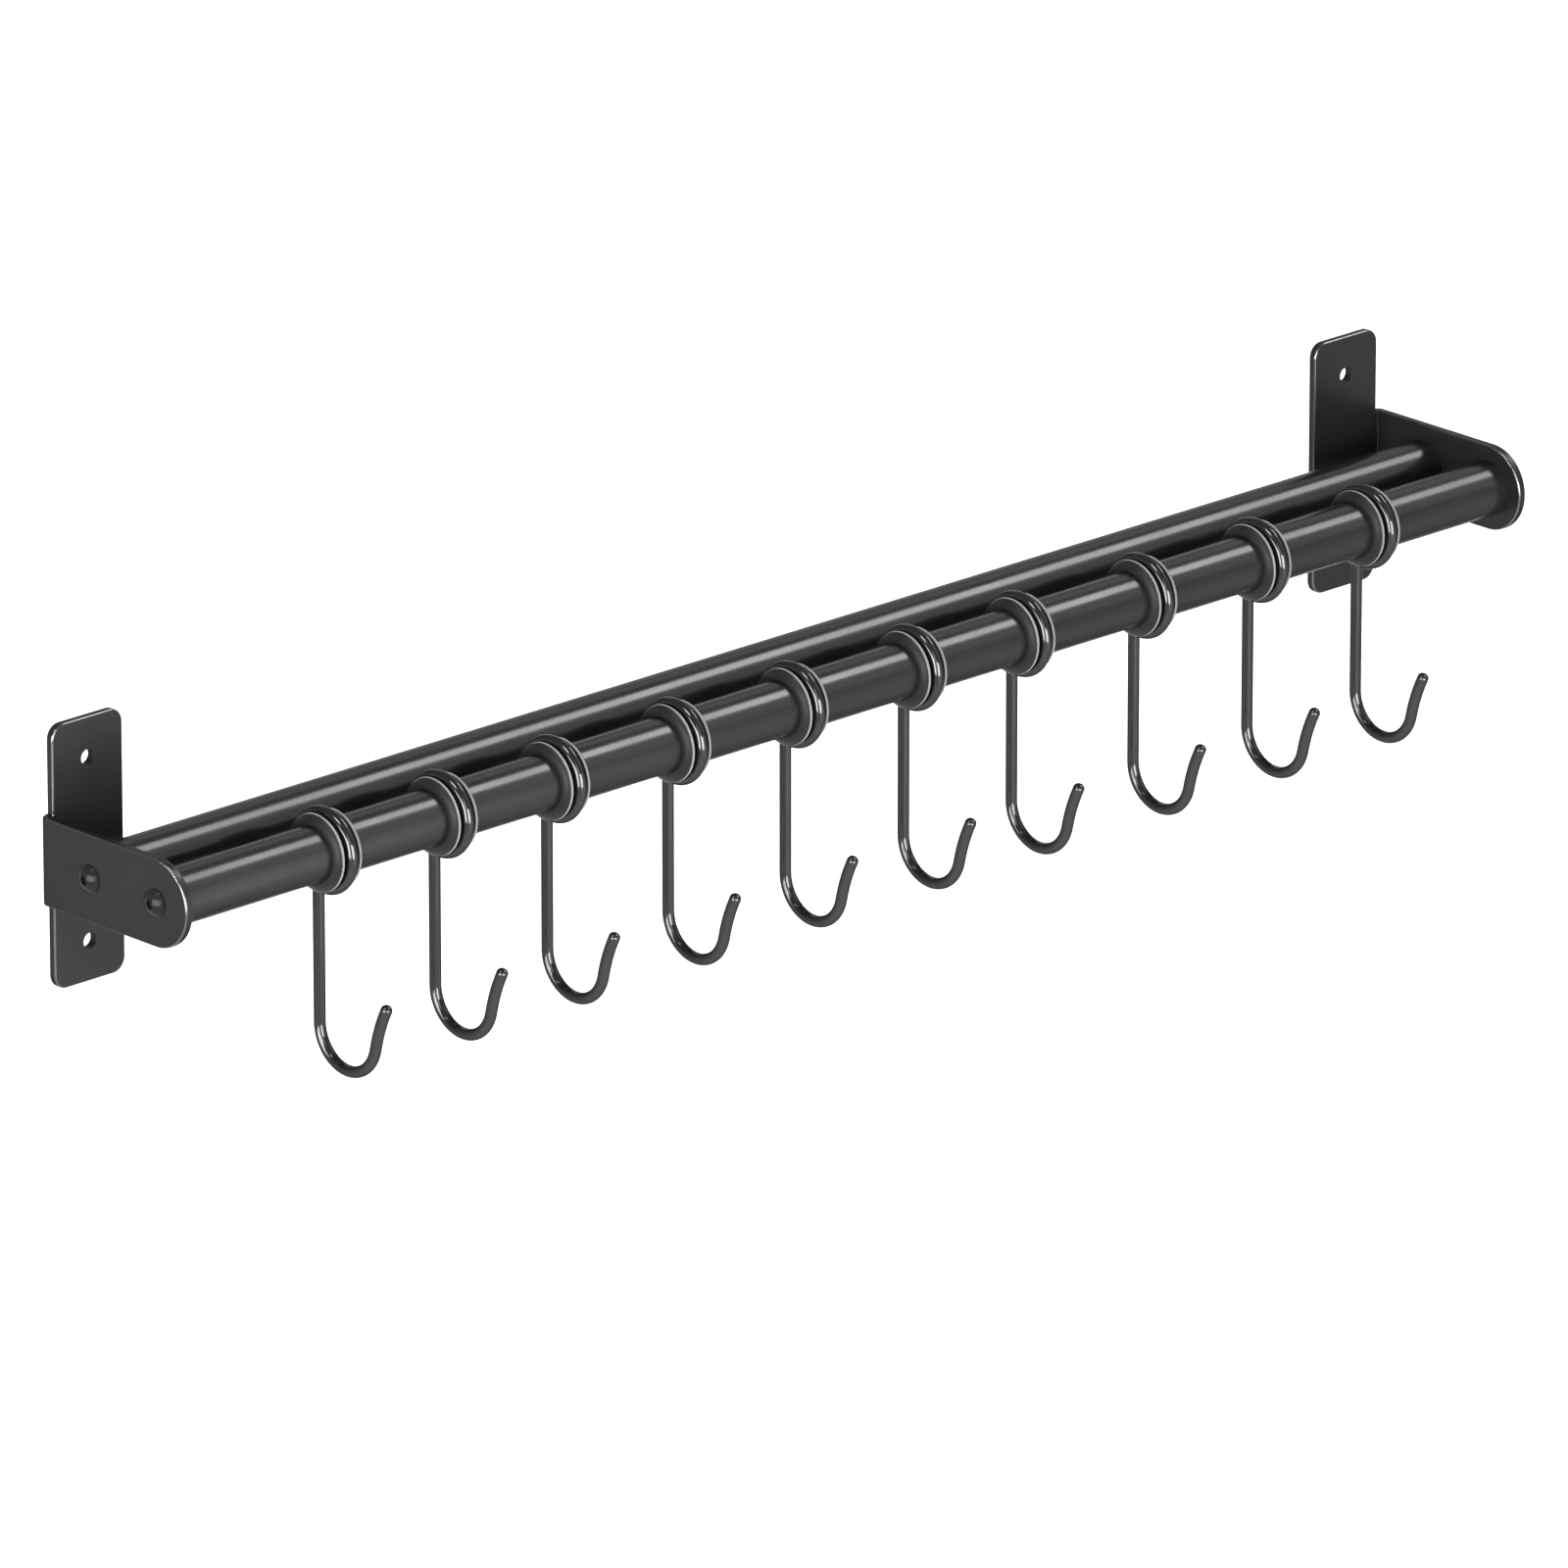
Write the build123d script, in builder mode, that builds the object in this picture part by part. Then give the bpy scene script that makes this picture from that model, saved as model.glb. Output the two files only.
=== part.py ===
from build123d import *
import math
import os

# Wall rail for kitchen utensils, in millimetres.
# X runs along the rail, +Y goes into the wall, +Z is up.
# The origin is the centre of the four wall holes, on the wall face of the brackets.

# Main sizes
rail_length = 610.0
sheet = 3.0
tube_od = 19.0
tube_wall = 1.0
tube_spacing = 31.5
front_axis = 56.0
back_axis = front_axis - tube_spacing

# End brackets
plate_width = 30.0
plate_height = 90.0
plate_corner = 5.0
arm_height = 30.0
bend_inner = 0.3
bend_outer = sheet + bend_inner
relief = 0.4
edge_round = 0.6
wall_hole_d = 5.5
wall_hole_pitch = 62.5
plate_edge = bend_outer + relief
plate_middle = plate_edge + plate_width / 2
arm_radius = arm_height / 2

# M5 button-head screws, one at each tube end
screw_d = 5.0
screw_clearance = 0.25
head_d = 9.5
head_height = 2.75
head_band = 0.5
socket_flats = 3.0
socket_depth = 1.6
plug_length = 16.0
screw_length = 14.0

# Nylon bushes that slide on the front tube
running_clearance = 0.08
bush_length = 11.6
bush_end_d = 20.2
flange_d = 26.3
flange_span = 8.1
flange_bulge = 0.35
flange_round = 0.3
groove_mouth = 6.5
groove_width = 4.8

# Wire hooks that swing on the bushes
wire_d = 4.0
loop_radius = 12.9
stem_offset = 3.3
neck_radius = 3.0
free_end_gap = 0.4
hook_drop = 59.3
hook_radius = 13.5
lip_lean = 12.0
lip_flare = 17.0
lip_radius = 59.0
tip_round = 1.7

# Hooks spread evenly along the rail, then each slid a little by hand
end_margin = 66.5
hook_slides = [6.5, 4.0, 0.5, 1.5, 1.5, 2.5, -0.5, 3.5, 4.5, 3.5]

half_length = rail_length / 2
hook_pitch = (rail_length - 2 * end_margin) / (len(hook_slides) - 1)
tube_length = rail_length - 2 * sheet
tube_id = tube_od - 2 * tube_wall
wire_r = wire_d / 2
bush_bore_d = tube_od + 2 * running_clearance
groove_d = 2 * (loop_radius - wire_r - running_clearance)
screw_hole_r = screw_d / 2 + screw_clearance

os.makedirs("parts", exist_ok=True)


def save(piece, name):
    piece.part.label = name
    export_step(piece.part, f"parts/{name}.step")


# Left bracket: a wall plate whose middle third is folded forward into an arm for the tubes
outer_x = -half_length
fold_x = outer_x + bend_outer
with BuildPart() as left_bracket:
    with BuildSketch(Plane.XZ):
        with Locations((outer_x + plate_middle, 0)):
            RectangleRounded(plate_width, plate_height, plate_corner)
            with GridLocations(0, wall_hole_pitch, 1, 2):
                Circle(wall_hole_d / 2, mode=Mode.SUBTRACT)
    extrude(amount=sheet)
    with BuildSketch(Plane.XY.offset(-arm_height / 2)):
        with BuildLine():
            back = Line((outer_x + plate_edge, 0), (fold_x, 0))
            outer_bend = JernArc(back @ 1, (-1, 0), bend_outer, 90)
            side = Line(outer_bend @ 1, (outer_x, -front_axis))
            end = Line(side @ 1, (outer_x + sheet, -front_axis))
            inner_side = Line(end @ 1, (outer_x + sheet, -bend_outer))
            inner_bend = JernArc(inner_side @ 1, (0, 1), bend_inner, -90)
            front = Line(inner_bend @ 1, (outer_x + plate_edge, -sheet))
            Line(front @ 1, back @ 0)
        make_face()
    extrude(amount=arm_height)
    with BuildSketch(Plane.YZ.offset(outer_x)):
        with Locations((-front_axis, 0)):
            Circle(arm_radius)
    extrude(amount=sheet)
    with BuildSketch(Plane.YZ.offset(outer_x)):
        with Locations((-front_axis, 0), (-back_axis, 0)):
            Circle(screw_hole_r)
    extrude(amount=sheet, mode=Mode.SUBTRACT)
    # Rounded relief where the fold meets the straight plate edge
    corners = left_bracket.edges().filter_by(Axis.Y).filter_by(
        lambda e: abs(e.center().X - (outer_x + plate_edge)) < 0.01
        and abs(abs(e.center().Z) - arm_height / 2) < 0.01
    )
    fillet(corners, relief)
    # Rounded rims all round the sheet and on the front of its wall holes
    across_sheet = left_bracket.edges().filter_by(GeomType.LINE).filter_by(
        lambda e: abs(e.length - sheet) < 0.01
    )
    along_fold = left_bracket.edges().filter_by(Axis.Z).filter_by(
        lambda e: abs(e.length - arm_height) < 0.01
    )
    under_heads = left_bracket.edges().filter_by(GeomType.CIRCLE).filter_by(
        lambda e: abs(e.radius - screw_hole_r) < 0.01
    )
    behind_wall_holes = left_bracket.edges().filter_by(GeomType.CIRCLE).filter_by(
        lambda e: abs(e.radius - wall_hole_d / 2) < 0.01 and abs(e.center().Y) < 0.01
    )
    kept_sharp = across_sheet + along_fold + under_heads + behind_wall_holes
    fillet(left_bracket.edges() - kept_sharp, edge_round)
save(left_bracket, "left_bracket")

# Right bracket, the mirror image
with BuildPart() as right_bracket:
    mirror(left_bracket.part, about=Plane.YZ)
save(right_bracket, "right_bracket")


# Rail tube, held between the two arms
def rail_tube(axis_y):
    with BuildPart() as tube:
        with BuildSketch(Plane.YZ.offset(-tube_length / 2)):
            with Locations((axis_y, 0)):
                Circle(tube_od / 2)
                Circle(tube_id / 2, mode=Mode.SUBTRACT)
        extrude(amount=tube_length)
    return tube


save(rail_tube(-front_axis), "front_tube")
save(rail_tube(-back_axis), "back_tube")

# Threaded plugs pressed into the four tube ends
with BuildPart() as tube_plugs:
    for end_x, inward in ((-tube_length / 2, 1), (tube_length / 2, -1)):
        with BuildSketch(Plane.YZ.offset(end_x)):
            with Locations((-front_axis, 0), (-back_axis, 0)):
                Circle(tube_id / 2)
                Circle(screw_d / 2, mode=Mode.SUBTRACT)
        extrude(amount=inward * plug_length)
save(tube_plugs, "tube_plugs")

# Button-head screws with hexagon sockets, one into each plug
dome_rise = head_height - head_band
dome_radius = ((head_d / 2) ** 2 + dome_rise**2) / (2 * dome_rise)
with BuildPart() as tube_screws:
    for outward in (-1, 1):
        seat = outward * half_length
        crown = seat + outward * head_height
        shank_tip = seat - outward * screw_length
        for axis_y in (-front_axis, -back_axis):
            with BuildSketch(Plane.XY):
                with BuildLine():
                    shank_end = Line((shank_tip, axis_y), (shank_tip, axis_y + screw_d / 2))
                    shank = Line(shank_end @ 1, (seat, axis_y + screw_d / 2))
                    seating = Line(shank @ 1, (seat, axis_y + head_d / 2))
                    band = Line(seating @ 1, (seat + outward * head_band, axis_y + head_d / 2))
                    RadiusArc(band @ 1, (crown, axis_y), outward * dome_radius)
                    Line((crown, axis_y), shank_end @ 0)
                make_face()
            revolve(axis=Axis((seat, axis_y, 0), (1, 0, 0)))
            with BuildSketch(Plane.YZ.offset(crown)):
                with Locations((axis_y, 0)):
                    RegularPolygon(socket_flats / 2, 6, major_radius=False)
            extrude(amount=-outward * socket_depth, mode=Mode.SUBTRACT)
save(tube_screws, "tube_screws")


# Nylon bush: a spool turned about the front tube, with domed ends and a groove for the wire
def slide_bush(place):
    through_axis = Plane((place, -front_axis, 0), x_dir=(1, 0, 0), z_dir=(0, -1, 0))
    with BuildPart() as bush:
        with BuildSketch(through_axis):
            with BuildLine() as half:
                floor = Line((0, groove_d / 2), (groove_width / 2, groove_d / 2))
                wall = Line(floor @ 1, (groove_mouth / 2, flange_d / 2))
                rim = Line(wall @ 1, (flange_span / 2, flange_d / 2))
                dome = SagittaArc(rim @ 1, (bush_length / 2, bush_end_d / 2), flange_bulge)
                end = Line(dome @ 1, (bush_length / 2, bush_bore_d / 2))
                Line(end @ 1, (0, bush_bore_d / 2))
                mirror(half.line, about=Plane.YZ)
            make_face()
        revolve(axis=Axis((place, -front_axis, 0), (1, 0, 0)))
        rims = bush.edges().filter_by(GeomType.CIRCLE).filter_by(
            lambda e: abs(e.radius - flange_d / 2) < 0.01
        )
        fillet(rims, flange_round)
    return bush


# Bent wire hook: an eye nearly all the way round the bush, a reverse bend at the neck,
# a straight stem and a rounded hook whose lip leans forward
neck_x = stem_offset + neck_radius
neck_y = -math.sqrt((loop_radius + neck_radius) ** 2 - neck_x**2)
neck_angle = math.degrees(math.atan2(neck_y, neck_x))
free_end_angle = math.degrees(math.asin((stem_offset - wire_r - free_end_gap) / loop_radius)) - 90
eye_sweep = 360 + free_end_angle - neck_angle


def bent_hook(place):
    side_plane = Plane((place, -front_axis, 0), x_dir=(0, 1, 0), z_dir=(1, 0, 0))
    with BuildPart() as hook:
        with BuildLine(side_plane) as wire:
            CenterArc((0, 0), loop_radius, free_end_angle, -eye_sweep)
            CenterArc((neck_x, neck_y), neck_radius, 180 + neck_angle, -neck_angle)
            Line((stem_offset, neck_y), (stem_offset, -hook_drop))
            bend_x = stem_offset - hook_radius
            CenterArc((bend_x, -hook_drop), hook_radius, 0, lip_lean - 180)
            lip_x = bend_x - (hook_radius + lip_radius) * math.cos(math.radians(lip_lean))
            lip_y = -hook_drop - (hook_radius + lip_radius) * math.sin(math.radians(lip_lean))
            CenterArc((lip_x, lip_y), lip_radius, lip_lean, lip_flare)
        with BuildSketch(wire.line ^ 0):
            Circle(wire_r)
        sweep()
        tip = hook.faces().filter_by(GeomType.PLANE).sort_by(Axis.Y)[0]
        fillet(tip.edges(), tip_round)
    return hook


for index, slide in enumerate(hook_slides):
    place = end_margin - half_length + index * hook_pitch + slide
    save(slide_bush(place), f"bush_{index + 1}")
    save(bent_hook(place), f"hook_{index + 1}")
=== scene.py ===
import math

import bpy
from mathutils import Matrix, Vector

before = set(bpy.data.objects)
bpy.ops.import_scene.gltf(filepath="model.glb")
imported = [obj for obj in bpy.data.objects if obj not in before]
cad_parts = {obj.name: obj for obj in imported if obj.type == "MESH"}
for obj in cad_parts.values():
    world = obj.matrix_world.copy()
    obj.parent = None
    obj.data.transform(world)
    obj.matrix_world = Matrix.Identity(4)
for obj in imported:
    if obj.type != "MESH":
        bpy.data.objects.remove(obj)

bl_info = {
    "name": "Kitchen Utensil Rail",
    "version": (1, 0, 0),
    "blender": (4, 5, 0),
    "location": "3D View > Sidebar > Rail",
    "description": "Finishes, studio light and camera for a wall rail with sliding hooks",
    "category": "Object",
}

MM = 0.001

# The brackets: plates and folds reach this far from the wall, and the plates this far from the middle
FOLD_DEPTH = 3.5 * MM
PLATE_REACH = 301.4 * MM
# The front tube's axis lies this far from the wall
TUBE_TO_WALL = 56 * MM
# The painted highlight line on a bush rim begins at the first radius and is full at the second
RIM_LINE_FROM = 13.0 * MM
RIM_LINE_FULL = 13.08 * MM

# Sizes of slow changes in the coats
FILM_PATCH = 35 * MM
LACQUER_WAVE = 25 * MM
SKIN_PATCH = 0.8 * MM
# How far roughness strays up and down
COAT_STRAY = 0.02
LACQUER_STRAY = 0.015

# Black coats with metal pigment stay dark where they are seen at a flat angle
DIM_EDGE = (0.42, 0.42, 0.42, 1.0)

# Strength and colour of plain white
WHITE = 1.0
WHITE_COLOUR = (1.0, 1.0, 1.0)
# The key lamp is a little warmer than the others
WARM_WHITE = (1.0, 0.96, 0.91)

FLOOR_CORNERS = 96
FLOOR_RADIUS = 14.0
# The room is white below the first height of the look direction and dimmer above the second
HORIZON = 0.05
OVERHEAD = 0.35

# The lamps stand round the middle of the front tube, and one of them round its left part
MIDDLE = (0.0, -TUBE_TO_WALL, 0.0)
LEFT_PART = (-0.4, -TUBE_TO_WALL, 0.0)
# A lamp with its grid off spreads its light over half of the room
NO_GRID = 180.0
GRID = 100.0
# Name, direction and distance from its target, target, direction of its width, width and height,
# radiance, spread in degrees, colour
LAMPS = (
    ("key_lamp", (0.65, -0.141, 0.747), 6.0, MIDDLE, (1, 0, 0), (1.1, 2.1), 22.5, NO_GRID, WARM_WHITE),
    ("left_box", (-0.99, -0.13, 0.02), 2.2, MIDDLE, (0, 1, 0), (1.8, 1.2), 27.0, GRID, WHITE_COLOUR),
    ("front_box", (-0.24, -0.96, 0.03), 2.2, MIDDLE, (1, 0, 0), (1.6, 1.2), 25.5, GRID, WHITE_COLOUR),
    ("left_strip", (-0.75, -0.57, 0.33), 6.0, MIDDLE, (0.6, -0.8, 0), (0.7, 1.4), 8.0, NO_GRID,
     WHITE_COLOUR),
    ("high_strip", (-0.5, -0.73, 0.42), 4.0, MIDDLE, (-0.62, 0.05, 0.9), (2.2, 0.9), 5.0, NO_GRID,
     WHITE_COLOUR),
    ("rim_lamp", (-0.63, 0.0, 0.78), 3.0, MIDDLE, (0, 1, 0), (0.9, 0.9), 18.0, NO_GRID, WHITE_COLOUR),
    ("low_fill", (-0.17, -0.93, -0.36), 1.8, MIDDLE, (1, 0, 0), (0.6, 0.45), 2.6, NO_GRID, WHITE_COLOUR),
    ("right_fill", (0.65, -0.76, -0.1), 1.3, LEFT_PART, (0.76, 0.65, 0), (0.35, 1.1), 2.0, NO_GRID,
     WHITE_COLOUR),
    ("right_box", (0.65, -0.45, 0.55), 4.0, MIDDLE, (0.6, 0.8, 0), (2.6, 2.4), 1.3, NO_GRID, WHITE_COLOUR),
    ("back_panel", (0.62, 0.62, 0.4), 5.0, MIDDLE, (0.7, -0.7, 0), (5.0, 3.5), 3.4, NO_GRID, WHITE_COLOUR),
)

# The camera's film width and lens in millimetres, where it stands and what it looks at
FILM_WIDTH = 36.0
LENS = 407.75
CAMERA_PLACE = (-3.8251, -4.0504, 1.9140)
CAMERA_TARGET = (0.02447, 0.0, -0.05404)


def linear(hex_colour):
    """Turn an sRGB hex colour such as "#1b1b1b" into linear red, green and blue."""
    parts = [int(hex_colour[i:i + 2], 16) / 255 for i in (1, 3, 5)]
    return tuple(c / 12.92 if c <= 0.04045 else ((c + 0.055) / 1.055) ** 2.4 for c in parts)


def add_node(tree, kind, links=None, **settings):
    """Add a node. Links maps an input to a value or to another node's output."""
    node = tree.nodes.new(kind)
    for name, value in settings.items():
        setattr(node, name, value)
    for name, value in (links or {}).items():
        if isinstance(value, bpy.types.NodeSocket):
            tree.links.new(value, node.inputs[name])
        else:
            node.inputs[name].default_value = value
    return node


def new_finish(name):
    """Start a material: returns it with its tree and its surface shader."""
    finish = bpy.data.materials.new(name)
    finish.use_nodes = True
    return finish, finish.node_tree, finish.node_tree.nodes["Principled BSDF"]


def set_surface(shader, **values):
    """Set plain numbers on the surface shader, or link an output to it."""
    for name, value in values.items():
        socket = shader.inputs[name.replace("_", " ")]
        if isinstance(value, bpy.types.NodeSocket):
            shader.id_data.links.new(value, socket)
        else:
            socket.default_value = value


def dress(names, finish):
    """Give the pieces with these names one finish."""
    for name in names:
        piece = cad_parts[name]
        if not piece.material_slots:
            piece.data.materials.append(None)
        for slot in piece.material_slots:
            slot.material = finish


def numbered(word):
    """All pieces named word_1, word_2 and so on."""
    return [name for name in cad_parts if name.rsplit("_", 1)[0] == word and name[-1].isdigit()]


# Finishes


def rounded_rims(tree, place):
    """An output that is 1 along the rounded rims of the brackets and 0 on their flat faces and folds.

    With n one part of the surface's direction, 4 n^2 (1 - n^2) is 1 half-way round a rim, 0 at its ends.
    """
    facing = add_node(tree, "ShaderNodeNewGeometry")
    squared = add_node(tree, "ShaderNodeVectorMath", {
        0: facing.outputs["Normal"], 1: facing.outputs["Normal"]}, operation="MULTIPLY")
    across = add_node(tree, "ShaderNodeVectorMath", {
        0: (4.0, 4.0, 4.0), 1: squared.outputs[0]}, operation="MULTIPLY")
    along = add_node(tree, "ShaderNodeVectorMath", {
        0: (1.0, 1.0, 1.0), 1: squared.outputs[0]}, operation="SUBTRACT")
    turning = add_node(tree, "ShaderNodeVectorMath", {
        0: across.outputs[0], 1: along.outputs[0]}, operation="MULTIPLY")
    turn = add_node(tree, "ShaderNodeSeparateXYZ", {"Vector": turning.outputs[0]})
    spot = add_node(tree, "ShaderNodeSeparateXYZ", {"Vector": place.outputs["Object"]})
    # The arms stand in front of the folds, and the plates lie between them
    on_arm = add_node(tree, "ShaderNodeMath", {
        0: spot.outputs["Y"], 1: -FOLD_DEPTH}, operation="LESS_THAN")
    sideways = add_node(tree, "ShaderNodeMath", {0: spot.outputs["X"]}, operation="ABSOLUTE")
    on_plate = add_node(tree, "ShaderNodeMath", {
        0: sideways.outputs[0], 1: PLATE_REACH}, operation="LESS_THAN")
    arm_rim = add_node(tree, "ShaderNodeMath", {
        0: on_arm.outputs[0], 1: turn.outputs["X"]}, operation="MULTIPLY")
    return add_node(tree, "ShaderNodeMath", {
        0: on_plate.outputs[0], 1: turn.outputs["Y"], 2: arm_rim.outputs[0]},
        operation="MULTIPLY_ADD").outputs[0]


def powder_coated_steel(look):
    """Powder-coated sheet steel, baked: satin, with the shallow orange peel that the powder leaves."""
    finish, tree, surface = new_finish("powder_coated_steel")
    place = add_node(tree, "ShaderNodeTexCoord")
    # Orange peel 1.6 mm across: it softens the ends of the highlights along the rounded rims
    peel = add_node(tree, "ShaderNodeTexNoise", {
        "Vector": place.outputs["Object"], "Scale": 1 / look.peel_width, "Detail": 1.0})
    relief = add_node(tree, "ShaderNodeBump", {
        "Height": peel.outputs["Fac"], "Strength": 0.35, "Distance": 0.012 * MM})
    # The film is a little thicker here and there, over about 35 mm, and duller where it is thin
    film = add_node(tree, "ShaderNodeTexNoise", {
        "Vector": place.outputs["Object"], "Scale": 1 / FILM_PATCH, "Detail": 2.0})
    gloss = add_node(tree, "ShaderNodeMapRange", {
        "Value": film.outputs["Fac"], "From Min": 0.3, "From Max": 0.7,
        "To Min": look.bracket_roughness - COAT_STRAY, "To Max": look.bracket_roughness + COAT_STRAY})
    tint = add_node(tree, "ShaderNodeMix", {
        0: film.outputs["Fac"], 6: (*look.bracket_colour, 1.0),
        7: (*(1.25 * c for c in look.bracket_colour), 1.0)}, data_type="RGBA")
    # Painted highlight over the rounded rims: a paler colour, more metal and a smoother coat there, so they
    # show bright lines
    rims = rounded_rims(tree, place)
    painted_rim_highlight = add_node(tree, "ShaderNodeMix", {
        0: rims, 6: tint.outputs[2], 7: (*look.rim_highlight_colour, 1.0)}, data_type="RGBA")
    shine = add_node(tree, "ShaderNodeMath", {
        0: rims, 1: -look.rim_shine, 2: gloss.outputs["Result"]}, operation="MULTIPLY_ADD")
    rim_metal = add_node(tree, "ShaderNodeMath", {
        0: rims, 1: 1.0 - look.coat_metal, 2: look.coat_metal}, operation="MULTIPLY_ADD")
    set_surface(
        surface, Base_Color=painted_rim_highlight.outputs[2], Roughness=shine.outputs[0],
        Normal=relief.outputs["Normal"], Metallic=rim_metal.outputs[0], Specular_IOR_Level=0.0,
        Specular_Tint=DIM_EDGE)
    return finish


def lacquered_tube(look):
    """Baked black lacquer on drawn steel tube: smoother than the brackets, with one long bright line."""
    finish, tree, surface = new_finish("lacquered_steel_tube")
    place = add_node(tree, "ShaderNodeTexCoord")
    # Drawing leaves faint lines along the tube, about 0.6 mm apart and some centimetres long
    drawn = add_node(tree, "ShaderNodeMapping", {
        "Vector": place.outputs["Object"], "Scale": (0.02, 1.0, 1.0)})
    lines = add_node(tree, "ShaderNodeTexNoise", {
        "Vector": drawn.outputs["Vector"], "Scale": 1 / look.draw_lines, "Detail": 2.0})
    relief = add_node(tree, "ShaderNodeBump", {
        "Height": lines.outputs["Fac"], "Strength": 0.15, "Distance": 0.01 * MM})
    # Slow waves in the lacquer, 25 mm long, make the bright line a little wider or narrower
    waves = add_node(tree, "ShaderNodeTexNoise", {
        "Vector": place.outputs["Object"], "Scale": 1 / LACQUER_WAVE, "Detail": 1.0})
    gloss = add_node(tree, "ShaderNodeMapRange", {
        "Value": waves.outputs["Fac"], "From Min": 0.3, "From Max": 0.7,
        "To Min": look.tube_roughness - LACQUER_STRAY, "To Max": look.tube_roughness + LACQUER_STRAY})
    tint = add_node(tree, "ShaderNodeMix", {
        0: lines.outputs["Fac"], 6: (*look.tube_colour, 1.0),
        7: (*(1.15 * c for c in look.tube_colour), 1.0)}, data_type="RGBA")
    set_surface(
        surface, Base_Color=tint.outputs[2], Roughness=gloss.outputs["Result"],
        Normal=relief.outputs["Normal"], Metallic=look.coat_metal, Specular_IOR_Level=0.0,
        Specular_Tint=DIM_EDGE)
    return finish


def black_plated_wire(look):
    """Spring-steel wire with bright black plating: the glossiest finish here, with small hard highlights."""
    finish, tree, surface = new_finish("black_plated_wire")
    place = add_node(tree, "ShaderNodeTexCoord")
    # Bending and plating leave tiny flats, about 0.9 mm long, that break up the highlights
    flats = add_node(tree, "ShaderNodeTexNoise", {
        "Vector": place.outputs["Object"], "Scale": 1 / look.wire_flats, "Detail": 2.0})
    relief = add_node(tree, "ShaderNodeBump", {
        "Height": flats.outputs["Fac"], "Strength": 0.03, "Distance": 0.004 * MM})
    gloss = add_node(tree, "ShaderNodeMapRange", {
        "Value": flats.outputs["Fac"], "From Min": 0.3, "From Max": 0.7,
        "To Min": look.wire_roughness - COAT_STRAY, "To Max": look.wire_roughness + COAT_STRAY})
    tint = add_node(tree, "ShaderNodeMix", {
        0: flats.outputs["Fac"], 6: (*look.wire_colour, 1.0),
        7: (*(1.15 * c for c in look.wire_colour), 1.0)}, data_type="RGBA")
    set_surface(
        surface, Base_Color=tint.outputs[2], Roughness=gloss.outputs["Result"],
        Normal=relief.outputs["Normal"], Metallic=look.wire_metal, Specular_IOR_Level=0.0,
        Specular_Tint=DIM_EDGE)
    return finish


def moulded_nylon(look):
    """Injection-moulded black nylon: a fine spark-eroded grain, duller and a little greyer than the metal."""
    finish, tree, surface = new_finish("moulded_nylon")
    place = add_node(tree, "ShaderNodeTexCoord")
    # Grain of the mould, 0.4 mm across
    grain = add_node(tree, "ShaderNodeTexVoronoi", {
        "Vector": place.outputs["Object"], "Scale": 1 / look.mould_grain})
    relief = add_node(tree, "ShaderNodeBump", {
        "Height": grain.outputs["Distance"], "Strength": 0.2, "Distance": 0.01 * MM})
    tint = add_node(tree, "ShaderNodeMix", {
        0: grain.outputs["Distance"], 6: (*look.bush_colour, 1.0),
        7: (*(1.2 * c for c in look.bush_colour), 1.0)}, data_type="RGBA")
    # Painted highlight: the outermost 0.15 mm of each bush rim is given a paler line
    from_axis = add_node(tree, "ShaderNodeMapping", {
        "Vector": place.outputs["Object"], "Location": (0.0, TUBE_TO_WALL, 0.0), "Scale": (0.0, 1.0, 1.0)})
    radius = add_node(tree, "ShaderNodeVectorMath", {
        0: from_axis.outputs["Vector"]}, operation="LENGTH")
    rim_line_mask = add_node(tree, "ShaderNodeMapRange", {
        "Value": radius.outputs["Value"], "From Min": RIM_LINE_FROM, "From Max": RIM_LINE_FULL})
    painted_rim_line = add_node(tree, "ShaderNodeMix", {
        0: rim_line_mask.outputs["Result"], 6: tint.outputs[2], 7: (*look.bush_rim_highlight_colour, 1.0)}, data_type="RGBA")
    set_surface(
        surface, Base_Color=painted_rim_line.outputs[2], Roughness=look.bush_roughness,
        Normal=relief.outputs["Normal"], IOR=1.53, Specular_IOR_Level=0.08)
    return finish


def blackened_steel(look):
    """Black-oxide screw heads: a thin dark skin on machined steel, a little mottled."""
    finish, tree, surface = new_finish("blackened_steel")
    place = add_node(tree, "ShaderNodeTexCoord")
    # The skin is uneven over about 0.8 mm, which mottles the sheen of the domes
    skin = add_node(tree, "ShaderNodeTexNoise", {
        "Vector": place.outputs["Object"], "Scale": 1 / SKIN_PATCH, "Detail": 2.0})
    relief = add_node(tree, "ShaderNodeBump", {
        "Height": skin.outputs["Fac"], "Strength": 0.2, "Distance": 0.008 * MM})
    gloss = add_node(tree, "ShaderNodeMapRange", {
        "Value": skin.outputs["Fac"], "From Min": 0.3, "From Max": 0.7,
        "To Min": look.screw_roughness - COAT_STRAY, "To Max": look.screw_roughness + COAT_STRAY})
    tint = add_node(tree, "ShaderNodeMix", {
        0: skin.outputs["Fac"], 6: (*look.screw_colour, 1.0),
        7: (*(1.2 * c for c in look.screw_colour), 1.0)}, data_type="RGBA")
    set_surface(
        surface, Base_Color=tint.outputs[2], Roughness=gloss.outputs["Result"],
        Normal=relief.outputs["Normal"], IOR=1.6, Specular_IOR_Level=0.04)
    return finish


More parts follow.
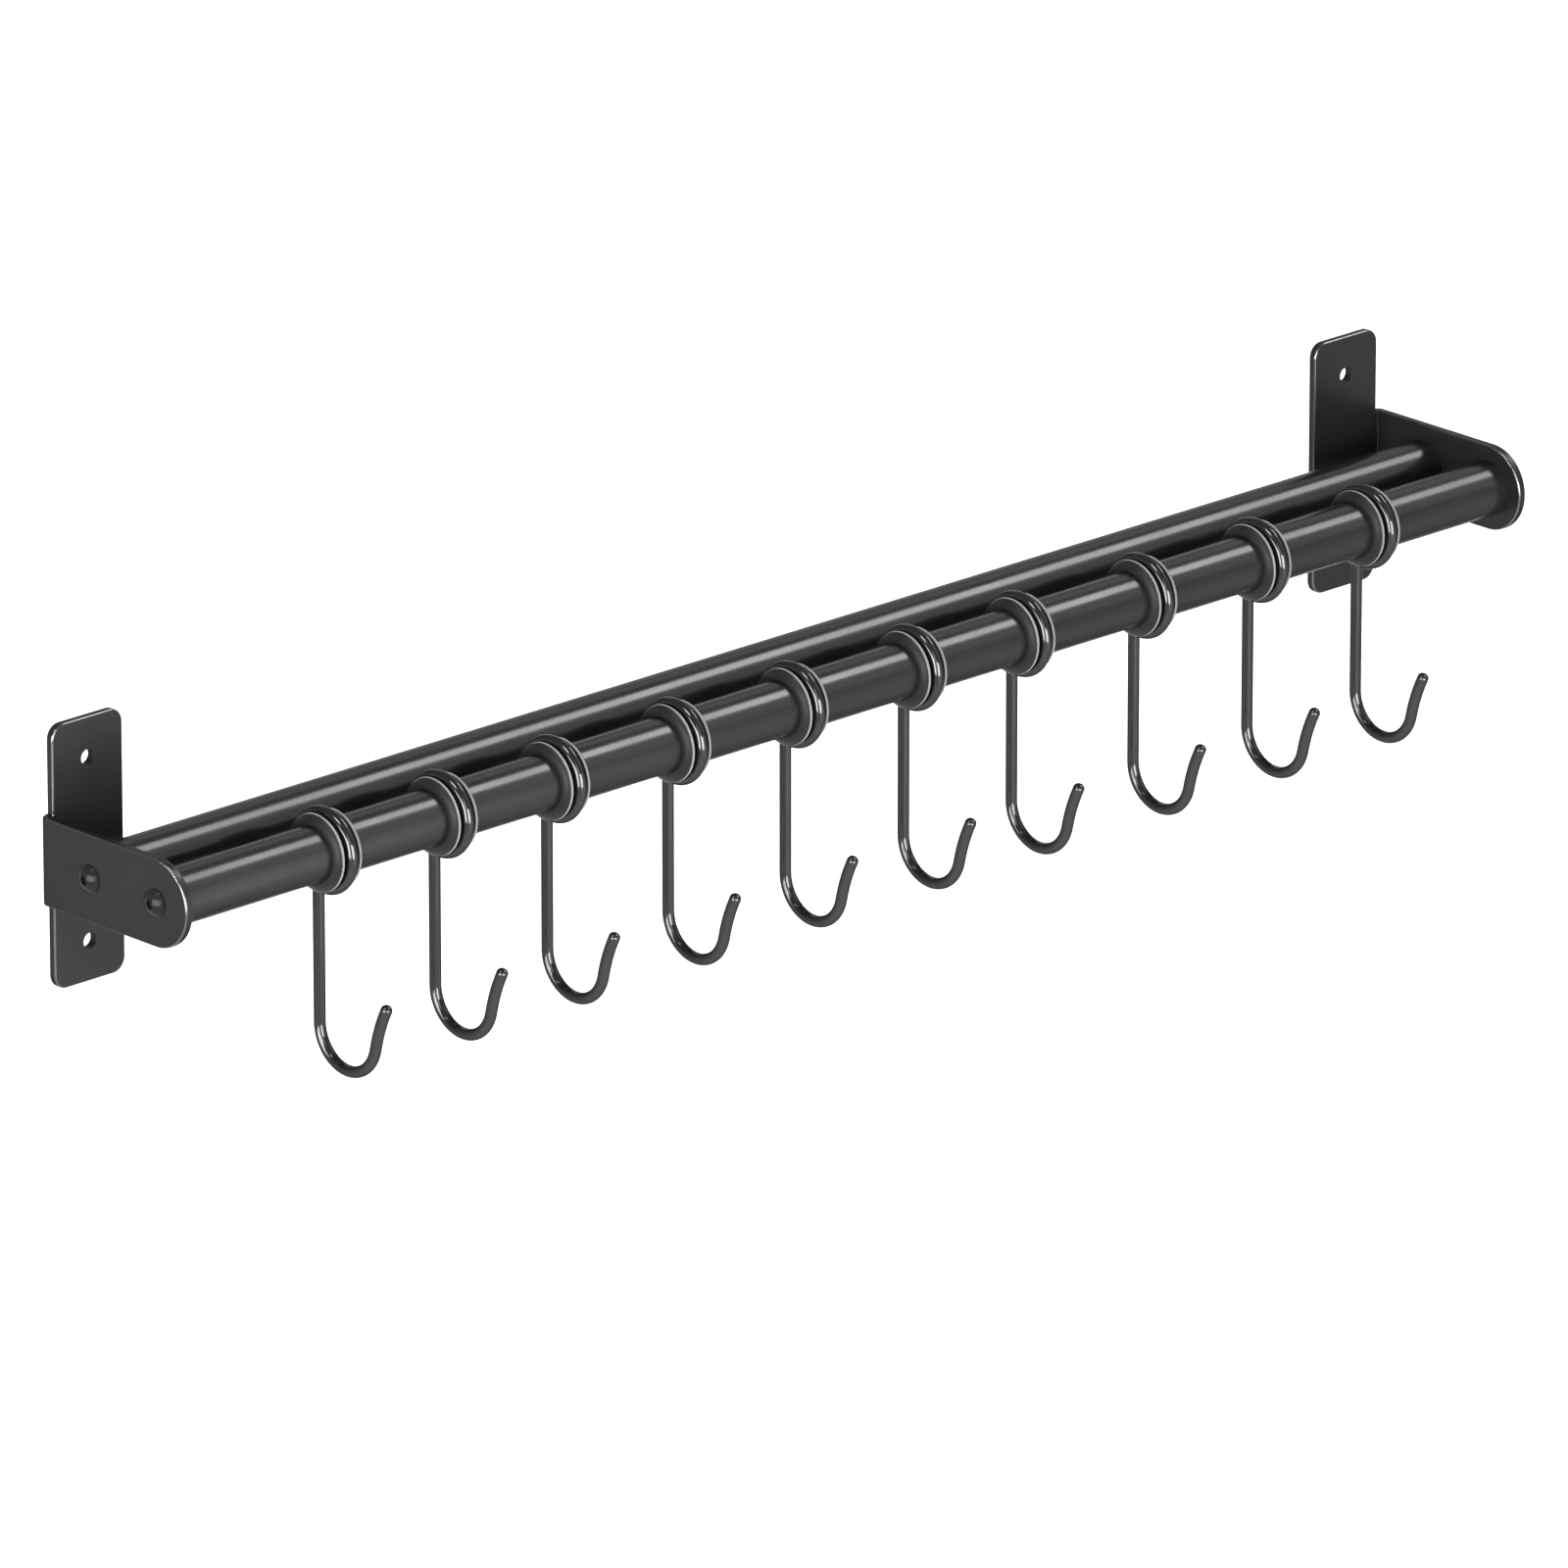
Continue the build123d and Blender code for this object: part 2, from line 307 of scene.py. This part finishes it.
def turned_steel(look):
    """Bare turned steel of the plugs inside the tube ends: bright, with fine rings round its axis."""
    finish, tree, surface = new_finish("turned_steel")
    place = add_node(tree, "ShaderNodeTexCoord")
    # Feed marks of the lathe, 0.25 mm apart along the axis
    rings = add_node(tree, "ShaderNodeTexWave", {
        "Vector": place.outputs["Object"], "Scale": 1 / (20 * look.feed_marks),
        "Distortion": 0.5}, bands_direction="X")
    relief = add_node(tree, "ShaderNodeBump", {
        "Height": rings.outputs["Fac"], "Strength": 0.3, "Distance": 0.01 * MM})
    set_surface(
        surface, Base_Color=(*look.plug_colour, 1.0), Metallic=1.0, Roughness=0.35,
        Normal=relief.outputs["Normal"])
    return finish


# Settings


class RailFinishes(bpy.types.PropertyGroup):
    """Colours, gloss and grain of the rail's pieces."""
    bracket_colour: bpy.props.FloatVectorProperty(
        name="Bracket colour", description="Powder coat of the folded brackets",
        subtype="COLOR", default=linear("#292929"), min=0.0, max=1.0)
    bracket_roughness: bpy.props.FloatProperty(
        name="Bracket roughness", description="Satin sheen of the powder coat",
        subtype="FACTOR", default=0.31, min=0.05, max=0.95)
    # Painted highlight: the paler colour laid over the rounded rims of the brackets
    rim_highlight_colour: bpy.props.FloatVectorProperty(
        name="Rim colour", description="The thin coat over the rounded rims of the sheet",
        subtype="COLOR", default=linear("#5c5c5c"), min=0.0, max=1.0)
    rim_shine: bpy.props.FloatProperty(
        name="Rim shine", description="How much smoother the coat is over the rims",
        subtype="FACTOR", default=0.15, min=0.0, max=0.25)
    peel_width: bpy.props.FloatProperty(
        name="Orange peel", description="Width of one dimple of the powder coat",
        unit="LENGTH", default=1.6 * MM, min=0.1 * MM, max=10 * MM)
    tube_colour: bpy.props.FloatVectorProperty(
        name="Tube colour", description="Lacquer of the two tubes",
        subtype="COLOR", default=linear("#303030"), min=0.0, max=1.0)
    tube_roughness: bpy.props.FloatProperty(
        name="Tube roughness", description="Gloss of the lacquer",
        subtype="FACTOR", default=0.23, min=0.05, max=0.95)
    coat_metal: bpy.props.FloatProperty(
        name="Metal in the coat",
        description="Share of metal pigment in the black coat of tubes and brackets",
        subtype="FACTOR", default=0.8, min=0.0, max=1.0)
    draw_lines: bpy.props.FloatProperty(
        name="Drawing lines", description="Distance between the faint lines along the tube",
        unit="LENGTH", default=0.6 * MM, min=0.1 * MM, max=10 * MM)
    wire_colour: bpy.props.FloatVectorProperty(
        name="Wire colour", description="Black plating of the hooks",
        subtype="COLOR", default=linear("#343434"), min=0.0, max=1.0)
    wire_metal: bpy.props.FloatProperty(
        name="Metal of the plating", description="Share of the plating that mirrors as metal does",
        subtype="FACTOR", default=0.9, min=0.0, max=1.0)
    wire_roughness: bpy.props.FloatProperty(
        name="Wire roughness", description="Gloss of the plating",
        subtype="FACTOR", default=0.1, min=0.05, max=0.95)
    wire_flats: bpy.props.FloatProperty(
        name="Wire flats", description="Size of the small flats left by bending",
        unit="LENGTH", default=0.9 * MM, min=0.1 * MM, max=10 * MM)
    bush_colour: bpy.props.FloatVectorProperty(
        name="Bush colour", description="Black nylon of the sliding bushes",
        subtype="COLOR", default=linear("#131313"), min=0.0, max=1.0)
    bush_roughness: bpy.props.FloatProperty(
        name="Bush roughness", description="Sheen of the moulded nylon",
        subtype="FACTOR", default=0.4, min=0.05, max=0.95)
    # Painted highlight: the paler colour of the thin line along each bush rim
    bush_rim_highlight_colour: bpy.props.FloatVectorProperty(
        name="Rubbed rim", description="The rims of the bushes, where fingers rub them",
        subtype="COLOR", default=linear("#606060"), min=0.0, max=1.0)
    mould_grain: bpy.props.FloatProperty(
        name="Mould grain", description="Width of one grain of the moulded surface",
        unit="LENGTH", default=0.4 * MM, min=0.1 * MM, max=10 * MM)
    screw_colour: bpy.props.FloatVectorProperty(
        name="Screw colour", description="Black oxide of the screw heads",
        subtype="COLOR", default=linear("#121212"), min=0.0, max=1.0)
    screw_roughness: bpy.props.FloatProperty(
        name="Screw roughness", description="Sheen of the screw heads",
        subtype="FACTOR", default=0.11, min=0.05, max=0.95)
    plug_colour: bpy.props.FloatVectorProperty(
        name="Plug colour", description="Bare steel of the plugs in the tube ends",
        subtype="COLOR", default=linear("#c4c5c9"), min=0.0, max=1.0)
    feed_marks: bpy.props.FloatProperty(
        name="Feed marks", description="Distance between the turning marks on the plugs",
        unit="LENGTH", default=0.25 * MM, min=0.05 * MM, max=5 * MM)


class RailStudio(bpy.types.PropertyGroup):
    """Floor, lamps and surroundings."""
    floor_colour: bpy.props.FloatVectorProperty(
        name="Floor colour", description="Matt paint of the plain floor",
        subtype="COLOR", default=linear("#b6b6b5"), min=0.0, max=1.0)
    floor_level: bpy.props.FloatProperty(
        name="Floor level", description="Height of the floor, below the wall-mounted rail",
        unit="LENGTH", default=-0.9)
    floor_lift: bpy.props.FloatProperty(
        name="Floor lift", description="What the camera sees added to the lit floor, so that it is white",
        default=0.78, min=0.0, max=1.0)
    ceiling_light: bpy.props.FloatProperty(
        name="Ceiling light", description="Light from above; at the horizon the room is white",
        default=0.45, min=0.0, max=1.0)


# Pieces


class RAIL_OT_brackets(bpy.types.Operator):
    """Powder coat on the two folded end brackets"""
    bl_idname = "rail.brackets"
    bl_label = "End brackets"

    def execute(self, context):
        dress(["left_bracket", "right_bracket"], powder_coated_steel(context.scene.rail_finishes))
        return {"FINISHED"}


class RAIL_OT_tubes(bpy.types.Operator):
    """Black lacquer on the front and back tubes"""
    bl_idname = "rail.tubes"
    bl_label = "Tubes"

    def execute(self, context):
        dress(["front_tube", "back_tube"], lacquered_tube(context.scene.rail_finishes))
        return {"FINISHED"}


class RAIL_OT_screws(bpy.types.Operator):
    """Black oxide on the four button-head screws"""
    bl_idname = "rail.screws"
    bl_label = "Screws"

    def execute(self, context):
        dress(["tube_screws"], blackened_steel(context.scene.rail_finishes))
        return {"FINISHED"}


class RAIL_OT_plugs(bpy.types.Operator):
    """Bare turned steel on the four plugs inside the tube ends"""
    bl_idname = "rail.plugs"
    bl_label = "Tube plugs"

    def execute(self, context):
        dress(["tube_plugs"], turned_steel(context.scene.rail_finishes))
        return {"FINISHED"}


class RAIL_OT_bushes(bpy.types.Operator):
    """Moulded nylon on the ten sliding bushes"""
    bl_idname = "rail.bushes"
    bl_label = "Bushes"

    def execute(self, context):
        dress(numbered("bush"), moulded_nylon(context.scene.rail_finishes))
        return {"FINISHED"}


class RAIL_OT_hooks(bpy.types.Operator):
    """Black plating on the ten wire hooks"""
    bl_idname = "rail.hooks"
    bl_label = "Hooks"

    def execute(self, context):
        dress(numbered("hook"), black_plated_wire(context.scene.rail_finishes))
        return {"FINISHED"}


# Stage


def aim(thing, place, target, along):
    """Put a lamp or camera at place, looking at target, with its own X axis as near along as can be."""
    back = (Vector(place) - Vector(target)).normalized()
    side = (Vector(along) - Vector(along).dot(back) * back).normalized()
    up = back.cross(side)
    thing.matrix_world = Matrix.Translation(place) @ Matrix((side, up, back)).transposed().to_4x4()


def soft_lamp(name, direction, distance, target, along, size, radiance, spread, colour):
    """A rectangular soft lamp in a direction from its target, with the radiance it has straight ahead.

    A spread under 180 degrees is the grid of a soft box, which keeps its light off the floor.
    """
    half = math.radians(spread) / 2
    lamp = bpy.data.lights.new(name, "AREA")
    lamp.shape = "RECTANGLE"
    lamp.size, lamp.size_y = size
    lamp.spread = 2 * half
    lamp.color = colour
    lamp.energy = radiance * math.pi * size[0] * size[1] * (1 - half / math.tan(half))
    stand = bpy.data.objects.new(name, lamp)
    bpy.context.scene.collection.objects.link(stand)
    aim(stand, Vector(target) + distance * Vector(direction).normalized(), target, along)


def seen_directly(tree):
    """An output that is 1 for what the camera sees, straight or in a shiny or clear surface."""
    ray = add_node(tree, "ShaderNodeLightPath")
    mirrored = add_node(tree, "ShaderNodeMath", {
        0: ray.outputs["Is Camera Ray"], 1: ray.outputs["Is Glossy Ray"]}, operation="MAXIMUM")
    return add_node(tree, "ShaderNodeMath", {
        0: mirrored.outputs[0], 1: ray.outputs["Is Transmission Ray"]}, operation="MAXIMUM").outputs[0]


class RAIL_OT_stage(bpy.types.Operator):
    """Pale floor, soft lamps, white surroundings and the camera"""
    bl_idname = "rail.stage"
    bl_label = "Studio"

    def execute(self, context):
        studio = context.scene.rail_studio
        self.make_floor(context.scene, studio)
        for lamp in LAMPS:
            soft_lamp(*lamp)
        self.make_surroundings(context.scene, studio)
        self.make_camera(context.scene)
        context.scene.view_settings.view_transform = "Standard"
        return {"FINISHED"}

    def make_floor(self, scene, studio):
        """A round matt floor, well below the rail, whose soft shadow stays in place."""
        sheet = bpy.data.meshes.new("floor")
        turns = [2 * math.pi * i / FLOOR_CORNERS for i in range(FLOOR_CORNERS)]
        corners = [
            (FLOOR_RADIUS * math.cos(t), FLOOR_RADIUS * math.sin(t), studio.floor_level) for t in turns]
        sheet.from_pydata(corners, [], [range(FLOOR_CORNERS)])
        floor = bpy.data.objects.new("floor", sheet)
        scene.collection.objects.link(floor)
        finish, tree, surface = new_finish("matt_floor_paint")
        set_surface(
            surface, Base_Color=(*studio.floor_colour, 1.0), Roughness=0.9, Specular_IOR_Level=0.0)
        # What is seen directly has plain white light added, so that the lit paint shows as white
        lift = add_node(tree, "ShaderNodeEmission", {
            "Color": (*WHITE_COLOUR, 1.0), "Strength": studio.floor_lift})
        lifted = add_node(tree, "ShaderNodeAddShader", {
            0: surface.outputs["BSDF"], 1: lift.outputs["Emission"]})
        shown = add_node(tree, "ShaderNodeMixShader", {
            0: seen_directly(tree), 1: surface.outputs["BSDF"], 2: lifted.outputs["Shader"]})
        tree.links.new(shown.outputs["Shader"], tree.nodes["Material Output"].inputs["Surface"])
        sheet.materials.append(finish)

    def make_surroundings(self, scene, studio):
        """A room that is white round the horizon and darker overhead."""
        room = bpy.data.worlds.new("studio_room")
        scene.world = room
        room.use_nodes = True
        tree = room.node_tree
        toward = add_node(tree, "ShaderNodeTexCoord")
        height = add_node(tree, "ShaderNodeSeparateXYZ", {"Vector": toward.outputs["Generated"]})
        light = add_node(tree, "ShaderNodeMapRange", {
            "Value": height.outputs["Z"], "From Min": HORIZON, "From Max": OVERHEAD,
            "To Min": WHITE, "To Max": studio.ceiling_light})
        wall = tree.nodes["Background"]
        wall.inputs["Color"].default_value = (*WHITE_COLOUR, 1.0)
        tree.links.new(light.outputs["Result"], wall.inputs["Strength"])

    def make_camera(self, scene):
        """A long lens far to the front left, a little above the rail."""
        lens = bpy.data.cameras.new("camera")
        lens.sensor_width = FILM_WIDTH
        lens.lens = LENS
        lens.clip_start = 0.5
        lens.clip_end = 60.0
        camera = bpy.data.objects.new("camera", lens)
        scene.collection.objects.link(camera)
        view = Vector(CAMERA_TARGET) - Vector(CAMERA_PLACE)
        aim(camera, CAMERA_PLACE, CAMERA_TARGET, view.cross((0, 0, 1)))
        scene.camera = camera


class RAIL_PT_sidebar(bpy.types.Panel):
    """Buttons for the rail's pieces and the stage, and their settings"""
    bl_idname = "RAIL_PT_sidebar"
    bl_label = "Kitchen Utensil Rail"
    bl_space_type = "VIEW_3D"
    bl_region_type = "UI"
    bl_category = "Rail"

    def draw(self, context):
        for step in STEPS:
            self.layout.operator(step.bl_idname)
        for group in (context.scene.rail_finishes, context.scene.rail_studio):
            box = self.layout.box()
            for name in group.__annotations__:
                box.prop(group, name)


STEPS = (
    RAIL_OT_brackets, RAIL_OT_tubes, RAIL_OT_screws, RAIL_OT_plugs, RAIL_OT_bushes,
    RAIL_OT_hooks, RAIL_OT_stage,
)
CLASSES = (RailFinishes, RailStudio, *STEPS, RAIL_PT_sidebar)


def register():
    for cls in CLASSES:
        bpy.utils.register_class(cls)
    bpy.types.Scene.rail_finishes = bpy.props.PointerProperty(type=RailFinishes)
    bpy.types.Scene.rail_studio = bpy.props.PointerProperty(type=RailStudio)


def unregister():
    del bpy.types.Scene.rail_studio
    del bpy.types.Scene.rail_finishes
    for cls in reversed(CLASSES):
        bpy.utils.unregister_class(cls)


def main():
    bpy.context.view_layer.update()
    register()
    bpy.ops.rail.stage()
    bpy.ops.rail.brackets()
    bpy.ops.rail.tubes()
    bpy.ops.rail.screws()
    bpy.ops.rail.plugs()
    bpy.ops.rail.bushes()
    bpy.ops.rail.hooks()


if __name__ == "__main__":
    main()
